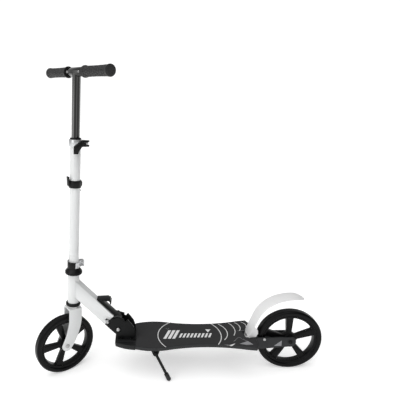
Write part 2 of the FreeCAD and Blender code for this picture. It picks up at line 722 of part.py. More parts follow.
def fold_lever():
    """Release lever on the down tube: an arm along the tube and a handle level with the ground."""
    body = new_body("fold_lever", DOWN_TUBE)
    turned_by = d.down_tube_angle - 90

    def level(x, z):
        """A place beside the fold pivot in the row's X and Z, as the tube's frame sees it."""
        return (x * cosine(turned_by) - z * sine(turned_by),
                x * sine(turned_by) + z * cosine(turned_by))

    half = d.lever_half
    arm = [(22.3, 21), (27, 13.5), (32, 16), (33, 30), (29, 40), (28.5, 110), (22.3, 117)]
    hole = (d.lever_pivot_x, d.lever_pivot_z, d.lever_pin_radius + d.running_gap)
    across(body, [arm, hole], -half, half)
    handle = [(-63.4, 101), (-56, 94.5), (-27, 95.5), (-23, 92), (-22.5, 84), (-19, 83.5),
              (-18, 92), (-21, 99.5, 1), (-28, 102.5, 1)]
    across(body, [[(*level(*corner[:2]), *corner[2:]) for corner in handle]], -half, half)
    hollow = box(22, 46, 26, 100)
    across(body, [hollow], 3 - half, half - 3, pocket)
    node(body, "fold_lever")

    pin_frame = DOWN_TUBE * at(d.lever_pivot_x, 0, d.lever_pivot_z)
    end = d.down_tube_width / 2
    radius = d.lever_pin_radius
    node(turned("lever_pin", pin_frame, [(0, -end), (radius, -end), (radius, end), (0, end)], "Y"),
         "lever_pin")


def head_set():
    """Head tube with its cups and bearings."""
    node(ring("head_tube", HEAD, d.head_bore, d.head_radius, d.head_bottom, d.head_top),
         "head_tube")
    cup_bore = d.steerer_radius + 0.8
    node(ring("upper_cup", HEAD, cup_bore, 27, d.head_top, d.head_top + 4), "upper_cup")
    lower = turned("lower_cup", HEAD, [
        (cup_bore, d.head_bottom - 10), (22.5, d.head_bottom - 10), (23.5, d.head_bottom - 8),
        (23.5, d.head_bottom - 3), (20, d.head_bottom), (cup_bore, d.head_bottom)])
    node(lower, "lower_cup")
    bore = d.steerer_radius + 0.1
    group("headset_bearings", HEAD, [
        ring("bearing", at(), bore, d.head_bore, d.head_bottom + 2, d.head_bottom + 10),
        ring("bearing", at(), bore, d.head_bore, d.head_top - 9, d.head_top - 1)])
    half = d.down_tube_width / 2 + 0.2
    bore = d.pivot_pin_radius + d.running_gap
    node(ring("fold_bushing", FOLD, bore, d.bushing_radius, -half, half, "Y"), "fold_bushing")


# ---- steering ----------------------------------------------------------------------------------

def fork():
    """One bent sheet: a crown over the wheel and two curved legs."""
    body = new_body("fork", STEER)
    half = d.fork_width / 2
    front = d.crown_front
    rear = d.crown_rear
    axle = -d.fork_offset
    leg = [(front, d.crown_top), (rear, d.crown_top), (rear, 85), (axle + 15.6, -9, 6.3),
           (axle - 17.5, 4, 15.3), (front, 85, -4)]
    across(body, [leg], -half, half)
    room = box(front - 40, -40, rear + 20, d.crown_top - d.crown_thickness)
    across(body, [room], -d.dropout_inner, d.dropout_inner, pocket)
    across(body, [(axle, 0, d.axle_radius)], -half - 1, half + 1, pocket)
    pocket(body, "XY_Plane", [(0, 0, d.steerer_radius)], 10, d.crown_top + 2, "One side")
    top = d.crown_top.value
    round_edges(body, d.fork_bend, lambda edge: runs_along(edge, 0)
                and edge.BoundBox.ZMin > top - 0.1 and abs(edge.BoundBox.Center.y) > 18)
    node(body, "fork")
    node(ring("steerer_tube", STEER, d.steerer_bore, d.steerer_radius,
              d.crown_top - d.crown_thickness, d.steerer_top), "steerer_tube")
    bore = d.steerer_radius + d.running_gap
    node(ring("crown_race", STEER, bore, 21, d.crown_top, d.head_bottom - 10.4), "crown_race")
    cover = turned("top_cover", STEER, [
        (bore, d.head_top + 4.4), (27, d.head_top + 4.4), (27, d.head_top + 7),
        (19, d.column_bottom - 1), (bore, d.column_bottom - 1)])
    node(cover, "top_cover")


def column():
    """Steering column with its adjusting holes, and the two clamps on it."""
    low = d.column_bottom
    bore = d.column_bore
    foot_bore = d.steerer_radius + d.running_gap
    foot_top = d.steerer_top + 2
    tube = turned("column_tube", STEER, [
        (foot_bore, low), (d.column_radius, low), (d.column_radius, d.column_top),
        (bore, d.column_top), (bore, foot_top), (foot_bore, foot_top)])
    slits = [box(-1, low - 1, 1, low + 42)]
    pocket(tube, "YZ_Plane", slits, d.column_radius + 1, 0, "One side")
    holes = [(0, d.button_height - step * d.button_pitch, 4) for step in range(3)]
    holes += [box(-1, d.column_top - 50, 1, d.column_top + 1)]
    pocket(tube, "YZ_Plane", holes, d.column_radius + 1, 0, "One side", True)
    node(tube, "column_tube")

    clamp = ring("lower_clamp", STEER, d.column_radius, d.clamp_radius, low, low + 20)
    for sign in (-1, 1):
        ear = box(16.5, sign * 1.5, 34, sign * 7)
        upwards(clamp, [ear], low, low + 20)
    pocket(clamp, "XY_Plane", [box(12, -1.5, 20, 1.5)], 22, low + 21, "One side")
    bolt_holes = [(27, low + 5, 2.5), (27, low + 15, 2.5)]
    across(clamp, bolt_holes, -9, 9, pocket)
    node(clamp, "lower_clamp")
    bolts = []
    for height in (5, 15):
        place = at(27, 7, low + height, about("X", -90))
        bolts.append(turned("clamp_bolt", place, [
            (0, 4), (3, 4), (4.2, 3), (4.2, 0), (2.5, 0), (2.5, -18), (0, -18)]))
    group("lower_clamp_bolts", STEER, bolts)

    guard = turned("clamp_guard", STEER * at(rotation=about("Z", 180)), [
        (d.clamp_radius, low - 0.5), (20, low - 0.5), (20, low + 21), (d.clamp_radius, low + 21)],
        angle=160)
    guard.Group[-1].Midplane = True
    node(guard, "clamp_guard")

    bushing = turned("column_bushing", STEER, [
        (d.stem_radius + d.running_gap, d.column_top - 60), (bore, d.column_top - 60),
        (bore, d.column_top), (16.5, d.column_top), (16.5, d.column_top + 3),
        (15.5, d.column_top + 4), (d.stem_radius + d.running_gap, d.column_top + 4)])
    node(bushing, "column_bushing")


def quick_clamp():
    """Collar at the column's top with its cam bolt, and the cam lever."""
    low = d.column_top - 20
    high = d.column_top - 1
    middle = d.column_top - 10
    collar = ring("upper_clamp", STEER, d.column_radius, d.collar_radius, low, high)
    for sign in (-1, 1):
        upwards(collar, [box(17.5, sign * 1.5, 32, sign * 8)], low + 2, high - 2)
    pocket(collar, "XY_Plane", [box(12, -1.5, 21, 1.5)], 24, high + 1, "One side")
    across(collar, [(d.cam_x, middle, 3)], -9, 9, pocket)
    node(collar, "upper_clamp")

    cam_bolt = new_body("cam_bolt", at())
    shank = (d.cam_x, middle, 3)
    across(cam_bolt, [shank], d.cam_y, 13)
    upwards(cam_bolt, [(d.cam_x, d.cam_y, 4.5)], middle - 3.5, middle + 3.5)
    upwards(cam_bolt, [(d.cam_x, d.cam_y, 2.5)], middle - 9, middle + 9)
    nut = new_body("cam_nut", at(d.cam_x, 0, middle))
    across(nut, [hexagon(5), (0, 0, 3)], 8, 12)
    washer = new_body("cam_washer", at(d.cam_x, 0, middle))
    across(washer, [(0, 0, 5.5), (0, 0, 3)], -8, d.cam_y + d.cam_radius + 0.3)
    group("upper_clamp_bolt", STEER, [cam_bolt, nut, washer])

    lever = new_body("clamp_lever", STEER)
    bar = [(22.6, middle - 30), (27.4, middle - 30), (27.4, middle + 4), (22.6, middle + 4)]
    sweep = turn(lever, bar, "Z", 60)
    sweep.Reversed = True
    above = [(-27, middle - 22), (0.5, middle + 4.5, 6), (0.5, middle + 9), (-27, middle + 9)]
    below = [(0.5, middle - 9), (-14, middle - 32, -3), (0.5, middle - 32)]
    pocket(lever, "YZ_Plane", [above, below], 30, 0, "One side", True)
    lever.Placement = STEER * at(rotation=about("Z", -68))
    turned_back = 68

    def at_cam(x, y):
        """A place beside the cam pivot, in the frame of the curved bar."""
        x = d.cam_x + x
        y = d.cam_y + y
        return (x * cosine(turned_back) - y * sine(turned_back),
                x * sine(turned_back) + y * cosine(turned_back))

    radius = d.cam_radius
    quarter = -radius * (1 - cosine(45))
    prong = [at_cam(0, -radius), (*at_cam(radius, 0), quarter), (*at_cam(0, radius), quarter),
             at_cam(-9, radius - 1.5), at_cam(-17, 3), at_cam(-16, -5)]
    for low, high in ((-9, -4.2), (4.2, 9)):
        upwards(lever, [prong], middle + low, middle + high)
    bridge = [at_cam(-9.5, -6), at_cam(-9.5, 5), at_cam(-17, 3.2), at_cam(-16.5, -5)]
    upwards(lever, [bridge], middle - 9, middle + 9)
    hole = (*at_cam(0, 0), 2.5 + d.running_gap)
    pocket(lever, "XY_Plane", [hole], 22, middle + 11, "One side")
    node(lever, "clamp_lever")


def storage_clip():
    """Plastic collar with a hook in front and a stud behind, that holds the folded scooter."""
    low = size(518)
    clip = ring("storage_clip", STEER, d.column_radius, 19, low, low + 22)
    hook = [(-17, low + 3), (-23, low + 6), (-25, low + 34), (-21.5, low + 34), (-20.5, low + 15),
            (-17, low + 12)]
    across(clip, [hook], -7, 7)
    across(clip, [box(17, low + 4, 21.5, low + 18)], -6, 6)
    node(clip, "storage_clip")


def handlebar():
    """Telescopic T stem, the two plug-in handles with their grips, and the spring buttons."""
    bar = d.bar_height
    stem = turned("t_stem", STEER, [
        (d.stem_bore, d.stem_bottom), (d.stem_radius, d.stem_bottom), (d.stem_radius, bar),
        (0, bar), (0, bar - d.bar_radius), (d.stem_bore, bar - d.bar_radius)])
    across(stem, [(0, bar, d.bar_radius)], -d.bar_half, d.bar_half)
    across(stem, [(0, bar, d.bar_bore)], -d.bar_half - 1, d.bar_half + 1, pocket)
    snaps = [(sign * d.snap_reach, bar, d.snap_radius + 0.1) for sign in (-1, 1)]
    pocket(stem, "YZ_Plane", snaps, d.bar_radius + 1, 0, "One side")
    button_hole = (0, d.button_height, d.button_radius + d.running_gap)
    pocket(stem, "YZ_Plane", [button_hole], d.stem_radius + 1, 0, "One side", True)
    node(stem, "t_stem")

    tip = d.column_radius + 3.5
    button = turned("height_button", STEER * at(z=d.button_height, rotation=about("Y", 90)), [
        (0, 4), (5, 4), (5, 6), (d.button_radius, 6), (d.button_radius, tip - 1),
        (2.2, tip, -0.25), (0, tip)])
    node(button, "height_button")

    for name, sign in (("left", -1), ("right", 1)):
        start = sign * d.handle_inner
        tube = ring(f"handle_tube_{name}", STEER * at(z=bar), d.handle_bore, d.handle_radius,
                    start, sign * 180, "Y")
        hole = (sign * d.snap_reach, 0, d.snap_radius + d.running_gap)
        pocket(tube, "YZ_Plane", [hole], d.handle_radius + 1, 0, "One side")
        node(tube, f"handle_tube_{name}")

        inner = d.grip_inner
        outer = d.grip_outer
        flange = d.grip_flange
        radius = d.grip_radius
        grip = turned(f"grip_{name}", STEER * at(z=bar), [
            (d.handle_radius, sign * inner), (flange, sign * inner), (flange, sign * (inner + 4)),
            (radius, sign * (inner + 7)), (radius - 0.7, sign * (inner + outer) / 2),
            (radius, sign * (outer - 7)), (flange - 1, sign * (outer - 5)),
            (flange - 1, sign * (outer - 1)), (flange - 2.5, sign * outer), (0, sign * outer),
            (0, sign * 180), (d.handle_radius, sign * 180)], "Y")
        node(grip, f"grip_{name}")

        reach = d.bar_radius + 1.1
        place = STEER * at(y=sign * d.snap_reach, z=bar, rotation=about("Y", -90))
        snap = turned(f"snap_button_{name}", place, [
            (0, 4), (4.5, 4), (4.5, 5.5), (d.snap_radius, 5.5), (d.snap_radius, reach - 1),
            (2, reach, -0.25), (0, reach)])
        node(snap, f"snap_button_{name}")


# ---- build -------------------------------------------------------------------------------------

deck()
deck_nose()
fold_plate("fold_plate_left", -1)
fold_plate("fold_plate_right", 1)
deck_screws()
node(headed_pin("fold_pivot_pin", FOLD, d.pivot_pin_radius, -plate_outer, plate_outer, size(6.5), 5),
     "fold_pivot_pin")
rear_plate("rear_plate_left", -1)
rear_plate("rear_plate_right", 1)
axle_set("rear", REAR_WHEEL, plate_outer)
wheel("rear", REAR_WHEEL, 90)
fender_brake()
kickstand()
head_set()
down_tube()
lock_parts()
fold_lever()
fork()
column()
quick_clamp()
storage_clip()
axle_set("front", FRONT_WHEEL, d.fork_width / 2)
wheel("front", FRONT_WHEEL, 180)
handlebar()

doc.recompute()
for thing in doc.Objects:
    if "Invalid" in thing.State or "Error" in thing.State:
        raise RuntimeError(f"{thing.Name} ({thing.Label}) did not compute: {thing.State}")
for thing in nodes:
    if thing.Shape.isNull() or not thing.Shape.isValid():
        raise RuntimeError(f"{thing.Label} has no valid shape")
os.makedirs("parts", exist_ok=True)
for thing in nodes:
    thing.Shape.exportStep(f"parts/{thing.Label}.step")
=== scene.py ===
"""Looks of the folding kick scooter: white frame, black wheels and grips, chrome T bar."""

import json
import math

import bmesh
import bpy
from mathutils import Matrix, Vector


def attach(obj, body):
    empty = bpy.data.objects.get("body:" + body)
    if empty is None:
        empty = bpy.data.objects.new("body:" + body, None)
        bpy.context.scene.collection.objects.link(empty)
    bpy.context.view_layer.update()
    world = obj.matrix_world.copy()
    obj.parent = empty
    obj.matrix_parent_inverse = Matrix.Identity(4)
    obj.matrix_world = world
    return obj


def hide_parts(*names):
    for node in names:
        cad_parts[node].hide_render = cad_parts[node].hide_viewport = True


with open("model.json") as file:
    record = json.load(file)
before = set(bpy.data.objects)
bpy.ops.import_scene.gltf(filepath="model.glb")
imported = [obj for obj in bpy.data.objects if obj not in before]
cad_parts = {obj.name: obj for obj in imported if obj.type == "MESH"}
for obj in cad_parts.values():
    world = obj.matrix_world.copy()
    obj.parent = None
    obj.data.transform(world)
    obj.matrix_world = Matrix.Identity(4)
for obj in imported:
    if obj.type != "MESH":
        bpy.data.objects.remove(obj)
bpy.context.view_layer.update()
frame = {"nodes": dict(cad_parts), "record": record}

MM = 0.001
REAR_AXLE_X = 350.92
WHEELBASE = 720.0
WHEEL_RADIUS = 100.0
FORK_OFFSET = 28.0
RAKE = math.radians(5)
STEER_AT_REST = math.radians(35)
BAR_HEIGHT = 845.0
HEAD_TUBE_RADIUS = 18.3
DECK_TOP = 119.0
PRINT_HEIGHT = DECK_TOP + 0.06
REAR_PLATE_FACE = 22.56
TUBE_TILT = math.radians(-43)
FOLD_PIVOT = (-538.0, 150.0)


def placed(x, y, z, turn=None):
    """A frame in metres, from a place in millimetres from the rear axle and the floor."""
    move = Matrix.Translation(Vector((x + REAR_AXLE_X, y, z)) * MM)
    return move @ turn if turn else move


FOOT_X = FORK_OFFSET * math.cos(RAKE) - WHEELBASE
FOOT_Z = WHEEL_RADIUS - FORK_OFFSET * math.sin(RAKE)
HEAD = placed(FOOT_X, 0, FOOT_Z, Matrix.Rotation(RAKE, 4, "Y"))
STEER = HEAD @ Matrix.Rotation(STEER_AT_REST, 4, "Z")
REAR_WHEEL = placed(0, 0, WHEEL_RADIUS)
FRONT_WHEEL = STEER @ Matrix.Translation(Vector((-FORK_OFFSET, 0, 0)) * MM)
DOWN_TUBE = placed(FOLD_PIVOT[0], 0, FOLD_PIVOT[1], Matrix.Rotation(TUBE_TILT, 4, "Y"))
TUBE_WAY = tuple(DOWN_TUBE.to_3x3() @ Vector((0, 0, 1)))

# ---- materials ---------------------------------------------------------------------------------

COARSE_SCALE = 14
COARSE_DETAIL = 4
FINE_DETAIL = 3
GLOSS_SPREAD = 0.05
RELIEF_DEPTH = 0.0004
COAT_ROUGHNESS = 0.12
# The sockets of a Mix node that is set to colours.
MIX_A, MIX_B, MIX_RESULT = 6, 7, 2


def material(name, colour, rough, metallic=0.0, coat=0.0, grain=(400, 0.05), mottle=0.06,
             stretch=(1, 1, 1), specular=0.5):
    """A principled material whose colour, roughness and relief follow noise in object space."""
    made = bpy.data.materials.new(name)
    made.use_nodes = True
    tree = made.node_tree
    shader = tree.nodes["Principled BSDF"]
    shader.inputs["Metallic"].default_value = metallic
    shader.inputs["Coat Weight"].default_value = coat
    shader.inputs["Coat Roughness"].default_value = COAT_ROUGHNESS
    shader.inputs["Specular IOR Level"].default_value = specular
    place = tree.nodes.new("ShaderNodeTexCoord")

    coarse = tree.nodes.new("ShaderNodeTexNoise")
    coarse.inputs["Scale"].default_value = COARSE_SCALE
    coarse.inputs["Detail"].default_value = COARSE_DETAIL
    tree.links.new(place.outputs["Object"], coarse.inputs["Vector"])
    blend = tree.nodes.new("ShaderNodeMix")
    blend.data_type = "RGBA"
    low = [max(0.0, part * (1 - mottle)) for part in colour]
    high = [min(1.0, part * (1 + mottle)) for part in colour]
    blend.inputs[MIX_A].default_value = (*low, 1)
    blend.inputs[MIX_B].default_value = (*high, 1)
    tree.links.new(coarse.outputs["Fac"], blend.inputs["Factor"])
    tree.links.new(blend.outputs[MIX_RESULT], shader.inputs["Base Color"])

    scale, strength = grain
    fine = tree.nodes.new("ShaderNodeTexNoise")
    fine.inputs["Scale"].default_value = scale
    fine.inputs["Detail"].default_value = FINE_DETAIL
    mapping = tree.nodes.new("ShaderNodeMapping")
    mapping.inputs["Scale"].default_value = stretch
    tree.links.new(place.outputs["Object"], mapping.inputs["Vector"])
    tree.links.new(mapping.outputs["Vector"], fine.inputs["Vector"])
    gloss = tree.nodes.new("ShaderNodeMapRange")
    gloss.inputs["To Min"].default_value = max(0.02, rough - GLOSS_SPREAD)
    gloss.inputs["To Max"].default_value = min(1.0, rough + GLOSS_SPREAD)
    tree.links.new(fine.outputs["Fac"], gloss.inputs["Value"])
    tree.links.new(gloss.outputs["Result"], shader.inputs["Roughness"])
    relief = tree.nodes.new("ShaderNodeBump")
    relief.inputs["Strength"].default_value = strength
    relief.inputs["Distance"].default_value = RELIEF_DEPTH
    tree.links.new(fine.outputs["Fac"], relief.inputs["Height"])
    tree.links.new(relief.outputs["Normal"], shader.inputs["Normal"])
    return made


def along_way(tree, output, way):
    """A node that measures a texture coordinate along a direction."""
    place = tree.nodes.new("ShaderNodeTexCoord")
    measure = tree.nodes.new("ShaderNodeVectorMath")
    measure.operation = "DOT_PRODUCT"
    measure.inputs[1].default_value = way
    tree.links.new(place.outputs[output], measure.inputs[0])
    return measure


def paint_reflection_bands(made, way, stops):
    """Replaces the base colour with painted reflections: bands round a tube, by its own normal
    against a direction.
    """
    tree = made.node_tree
    across = along_way(tree, "Normal", way)
    spread = tree.nodes.new("ShaderNodeMapRange")
    spread.inputs["From Min"].default_value = -1
    tree.links.new(across.outputs["Value"], spread.inputs["Value"])
    ramp = tree.nodes.new("ShaderNodeValToRGB")
    elements = ramp.color_ramp.elements
    while len(elements) < len(stops):
        elements.new(0.5)
    for element, (position, value) in zip(elements, stops):
        element.position = position
        element.color = (value, value, value * 0.99, 1)
    tree.links.new(spread.outputs["Result"], ramp.inputs["Fac"])
    # The bands are painted reflections and highlights, put into the base colour.
    tree.links.new(ramp.outputs["Color"], tree.nodes["Principled BSDF"].inputs["Base Color"])
    return made


def capped(made, way, level, colour):
    """Gives the material another colour below a level along a direction, in metres."""
    tree = made.node_tree
    socket = tree.nodes["Principled BSDF"].inputs["Base Color"]
    usual = socket.links[0].from_socket
    along = along_way(tree, "Object", way)
    step = tree.nodes.new("ShaderNodeMapRange")
    step.inputs["From Min"].default_value = level
    step.inputs["From Max"].default_value = level + 0.3 * MM
    tree.links.new(along.outputs["Value"], step.inputs["Value"])
    mix = tree.nodes.new("ShaderNodeMix")
    mix.data_type = "RGBA"
    mix.inputs[MIX_A].default_value = (*colour, 1)
    tree.links.new(step.outputs["Result"], mix.inputs["Factor"])
    tree.links.new(usual, mix.inputs[MIX_B])
    tree.links.new(mix.outputs[MIX_RESULT], socket)
    return made


WHITE_PAINT = {"colour": (0.74, 0.75, 0.75), "rough": 0.3, "coat": 0.3, "grain": (900, 0.03),
               "mottle": 0.01, "specular": 0.4}
LOOKS = {
    "white_paint": WHITE_PAINT,
    "white_plastic": {"colour": (0.78, 0.78, 0.78), "rough": 0.4, "grain": (700, 0.03),
                      "mottle": 0.01, "specular": 0.4},
    "black_paint": {"colour": (0.004, 0.0045, 0.0045), "rough": 0.36, "grain": (1200, 0.1),
                    "mottle": 0.3, "specular": 0.16},
    "grey_paint": {"colour": (0.022, 0.023, 0.024), "rough": 0.45, "grain": (1200, 0.12),
                   "mottle": 0.15, "specular": 0.2},
    "deck_metal": {"colour": (0.022, 0.023, 0.024), "rough": 0.48, "grain": (900, 0.08),
                   "mottle": 0.15, "specular": 0.3},
    "deck_cover": {"colour": (0.034, 0.034, 0.035), "rough": 0.9, "grain": (1600, 0.9),
                   "mottle": 0.12, "specular": 0.15},
    "nose_plastic": {"colour": (0.012, 0.0125, 0.013), "rough": 0.42, "grain": (800, 0.15),
                     "mottle": 0.2, "specular": 0.2},
    "tyre": {"colour": (0.0025, 0.0025, 0.0027), "rough": 0.3, "grain": (500, 0.05),
             "mottle": 0.4, "specular": 0.13},
    "rim_plastic": {"colour": (0.0025, 0.0025, 0.0027), "rough": 0.28, "grain": (600, 0.05),
                    "mottle": 0.4, "specular": 0.12},
    "steel": {"colour": (0.45, 0.45, 0.45), "rough": 0.3, "metallic": 1.0, "grain": (900, 0.06)},
    "chrome": {"colour": (0.3, 0.3, 0.3), "rough": 0.12, "metallic": 1.0, "grain": (300, 0.01),
               "stretch": (1, 1, 0.05)},
    "alloy": {"colour": (0.6, 0.61, 0.62), "rough": 0.32, "metallic": 0.85, "grain": (900, 0.08)},
    "black_plastic": {"colour": (0.004, 0.004, 0.0042), "rough": 0.36, "grain": (900, 0.1),
                      "mottle": 0.3, "specular": 0.2},
    "grip_rubber": {"colour": (0.022, 0.022, 0.0225), "rough": 0.5, "grain": (1500, 0.2),
                    "mottle": 0.2, "specular": 0.3},
    "white_print": {"colour": (0.72, 0.72, 0.72), "rough": 0.6, "grain": (1500, 0.3)},
    "grey_print": {"colour": (0.24, 0.24, 0.25), "rough": 0.6, "grain": (1500, 0.3)},
}
MATERIALS = {name: material(name, **look) for name, look in LOOKS.items()}

# Painted reflections: dark and bright bands in the chrome's base colour, standing in for what
# polished chrome reflects: (position round the tube, brightness).
CHROME_PAINTED_LIGHT_WAY = (-0.61, -0.79, 0.06)
CHROME_PAINTED_REFLECTIONS = ((0.0, 0.5), (0.06, 0.5), (0.12, 0.1), (0.3, 0.07), (0.36, 0.3), (0.42, 0.05),
                (0.74, 0.028), (0.8, 0.09), (0.87, 0.026), (0.97, 0.032), (0.99, 0.2), (1.0, 0.24))
paint_reflection_bands(MATERIALS["chrome"], CHROME_PAINTED_LIGHT_WAY, CHROME_PAINTED_REFLECTIONS)

# The down tube is black below this height along it, and the screws are black up to this x.
BLACK_TUBE_END = Vector(TUBE_WAY).dot(DOWN_TUBE.translation) + 41 * MM
BLACK_SCREWS_END = 0.2
MATERIALS["down_tube"] = capped(material("tube_paint", **WHITE_PAINT), TUBE_WAY, BLACK_TUBE_END,
                                (0.006, 0.007, 0.007))
MATERIALS["deck_screws"] = capped(material("screws", (0.45, 0.45, 0.45), 0.3, metallic=1.0),
                                  (1, 0, 0), BLACK_SCREWS_END, (0.006, 0.006, 0.006))

# ---- pieces ------------------------------------------------------------------------------------

SLOT_OF = {entry["node"]: entry["material_slot"] for entry in frame["record"]["subparts"]}
BODY_OF = {}
for body, members in frame["record"]["behaviour"]["bodies"].items():
    for member in members:
        BODY_OF[member] = body

SHARP_ANGLE = math.radians(30)
FLAT_ANGLE = math.radians(0.5)
# Edges shorter than this part of the rounding's width stay sharp.
SHORTEST_ROUNDED = 0.4


def shade(mesh, angle):
    """Smooth shading, but for edges sharper than an angle in degrees."""
    for face in mesh.polygons:
        face.use_smooth = True
    mesh.set_sharp_from_angle(angle=math.radians(angle))


def piece(name, mesh, body, slot, look=None, instead_of=(), angle=35):
    """A finished visual object on a body."""
    made = bpy.data.objects.new(name, mesh)
    bpy.context.scene.collection.objects.link(made)
    mesh.materials.clear()
    mesh.materials.append(MATERIALS[look or slot])
    shade(mesh, angle)
    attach(made, body)
    if instead_of:
        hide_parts(*instead_of)
    return made


def softened(node, width):
    """The CAD node's own mesh with its sharp edges rounded by a width in millimetres."""
    mesh = frame["nodes"][node].data.copy()
    work = bmesh.new()
    work.from_mesh(mesh)
    bmesh.ops.remove_doubles(work, verts=work.verts, dist=1e-6)
    bmesh.ops.dissolve_limit(work, angle_limit=FLAT_ANGLE, verts=work.verts, edges=work.edges)
    if width:
        sharp = [edge for edge in work.edges if len(edge.link_faces) == 2
                 and edge.calc_face_angle(0) > SHARP_ANGLE
                 and edge.calc_length() > SHORTEST_ROUNDED * width * MM]
        bmesh.ops.bevel(work, geom=sharp, offset=width * MM, offset_type="OFFSET",
                        segments=2, profile=0.5, affect="EDGES", clamp_overlap=False)
    work.to_mesh(mesh)
    work.free()
    look = node if node in MATERIALS else SLOT_OF[node]
    piece(f"{node}_soft", mesh, BODY_OF[node], SLOT_OF[node], look, (node,), angle=40)


def grid_mesh(name, rows):
    """A mesh through rows of points, each row closed on itself."""
    count = len(rows[0])
    points = [point for row in rows for point in row]
    faces = []
    for i in range(len(rows) - 1):
        for j in range(count):
            ahead = (j + 1) % count
            faces.append((i * count + j, i * count + ahead, (i + 1) * count + ahead,
                          (i + 1) * count + j))
    mesh = bpy.data.meshes.new(name)
    mesh.from_pydata(points, [], faces)
    work = bmesh.new()
    work.from_mesh(mesh)
    bmesh.ops.remove_doubles(work, verts=work.verts, dist=1e-7)
    bmesh.ops.recalc_face_normals(work, faces=work.faces)
    work.to_mesh(mesh)
    work.free()
    return mesh


def lathe(name, place, profile, steps, ripple=None):
    """A surface turned about a frame's Y axis from (radius, height) points in millimetres."""
    rows = []
    for radius, height in profile:
        row = []
        for step in range(steps):
            turn = 2 * math.pi * step / steps
            reach = radius - (ripple(turn, height) if ripple else 0)
            point = (reach * math.cos(turn), height, reach * math.sin(turn))
            row.append(place @ (Vector(point) * MM))
        rows.append(row)
    return grid_mesh(name, rows)


def arc_points(centre, radius, start, end, count):
    """Points on an arc between two angles in degrees."""
    found = []
    for step in range(count + 1):
        turn = math.radians(start + (end - start) * step / count)
        found.append((centre[0] + radius * math.cos(turn), centre[1] + radius * math.sin(turn)))
    return found


def through(first, middle, last, count=24):
    """Points on the circle arc through three points."""
    ax, ay = first
    bx, by = middle
    cx, cy = last
    doubled = 2 * (ax * (by - cy) + bx * (cy - ay) + cx * (ay - by))
    ux = ((ax * ax + ay * ay) * (by - cy) + (bx * bx + by * by) * (cy - ay)
          + (cx * cx + cy * cy) * (ay - by)) / doubled
    uy = ((ax * ax + ay * ay) * (cx - bx) + (bx * bx + by * by) * (ax - cx)
          + (cx * cx + cy * cy) * (bx - ax)) / doubled
    radius = math.hypot(ax - ux, ay - uy)
    angles = [math.atan2(y - uy, x - ux) for x, y in (first, middle, last)]
    for index in (1, 2):
        while angles[index] - angles[index - 1] > math.pi:
            angles[index] -= 2 * math.pi
        while angles[index] - angles[index - 1] < -math.pi:
            angles[index] += 2 * math.pi
    found = []
    for step in range(count + 1):
        turn = angles[0] + (angles[2] - angles[0]) * step / count
        found.append((ux + radius * math.cos(turn), uy + radius * math.sin(turn)))
    return found


def tyres():
    """Smooth moulded tyres with round shoulders and a fine parting line."""
    half = 14.0
    corner = 7.3
    side = [(84, -11), (86.2, -13.6), (87.4, -half), (92.6, -half)]
    side += arc_points((WHEEL_RADIUS - corner, corner - half), corner, -90, 0, 10)
    crown = [(100, -3), (100, -0.5), (99.75, -0.25), (99.75, 0.25), (100, 0.5), (100, 3)]
    back = [(radius, -height) for radius, height in reversed(side)]
    profile = side + crown + back
    for name, place in (("rear", REAR_WHEEL), ("front", FRONT_WHEEL)):
        mesh = lathe(f"{name}_tyre", place, profile + [profile[0]], 180)
        piece(f"{name}_tyre_soft", mesh, f"{name}_wheel", "tyre", instead_of=(f"{name}_tyre",))


def grips():
    """Rubber grips: flanged ends, a raised collar and staggered blocks between fine grooves."""
    inner, outer = 50.6, 183.5
    first, last = 63.0, 172.0
    radius = 14.4
    waist = 0.6
    lanes = 12
    rings = 9
    pitch = (last - first) / rings
    depth, reach, wall = 1.1, 1.6, 0.7

    def groove(turn, height):
        """How deep the grooves are at a place on the grip."""
        s = abs(height)
        if not first <= s <= last:
            return 0.0
        ring = (s - first) / pitch
        to_ring = min(ring % 1, 1 - ring % 1) * pitch
        shift = 0.5 if int(ring) % 2 else 0.0
        lane = (turn / (2 * math.pi) * lanes + shift) % 1
        to_lane = min(lane, 1 - lane) * 2 * math.pi * radius / lanes
        near = min(to_ring, to_lane)
        return depth * max(0.0, min(1.0, (reach - near) / wall))

    base = [(10.05, inner), (15.6, inner), (16.3, inner + 0.7), (16.3, inner + 3.3),
            (15.7, inner + 4), (14.9, inner + 5), (radius, inner + 7), (radius, first - 2)]
    steps = 220
    for step in range(steps + 1):
        s = first - 1.5 + (last - first + 3) * step / steps
        along = (s - first) / (last - first)
        base.append((radius - waist * math.sin(math.pi * min(1, max(0, along))), s))
    base += [(radius, outer - 8), (14.6, outer - 6.5), (15.1, outer - 5), (15.3, outer - 4),
             (15.3, outer - 1.4), (14.9, outer - 0.4), (13.9, outer), (9.0, outer),
             (8.6, outer - 0.8), (0.01, outer - 0.8)]
    bar = STEER @ Matrix.Translation(Vector((0, 0, BAR_HEIGHT)) * MM)
    for name, sign in (("left", -1), ("right", 1)):
        profile = [(away, sign * s) for away, s in base]
        mesh = lathe(f"grip_{name}", bar, profile, 192, ripple=groove)
        piece(f"grip_{name}_soft", mesh, f"handle_{name}", "grip_rubber",
              instead_of=(f"grip_{name}",), angle=30)


def flat_print(name, corners, faces, look):
    """A thin flat print on the deck through (x, y) corners in millimetres, facing up."""
    mesh = bpy.data.meshes.new(name)
    mesh.from_pydata([Vector((x, y, PRINT_HEIGHT)) * MM for x, y in corners], [], faces)
    work = bmesh.new()
    work.from_mesh(mesh)
    bmesh.ops.recalc_face_normals(work, faces=work.faces)
    if sum(face.normal.z * face.calc_area() for face in work.faces) < 0:
        bmesh.ops.reverse_faces(work, faces=work.faces)
    work.to_mesh(mesh)
    work.free()
    piece(name, mesh, "deck_frame", "white_plastic", look=look)


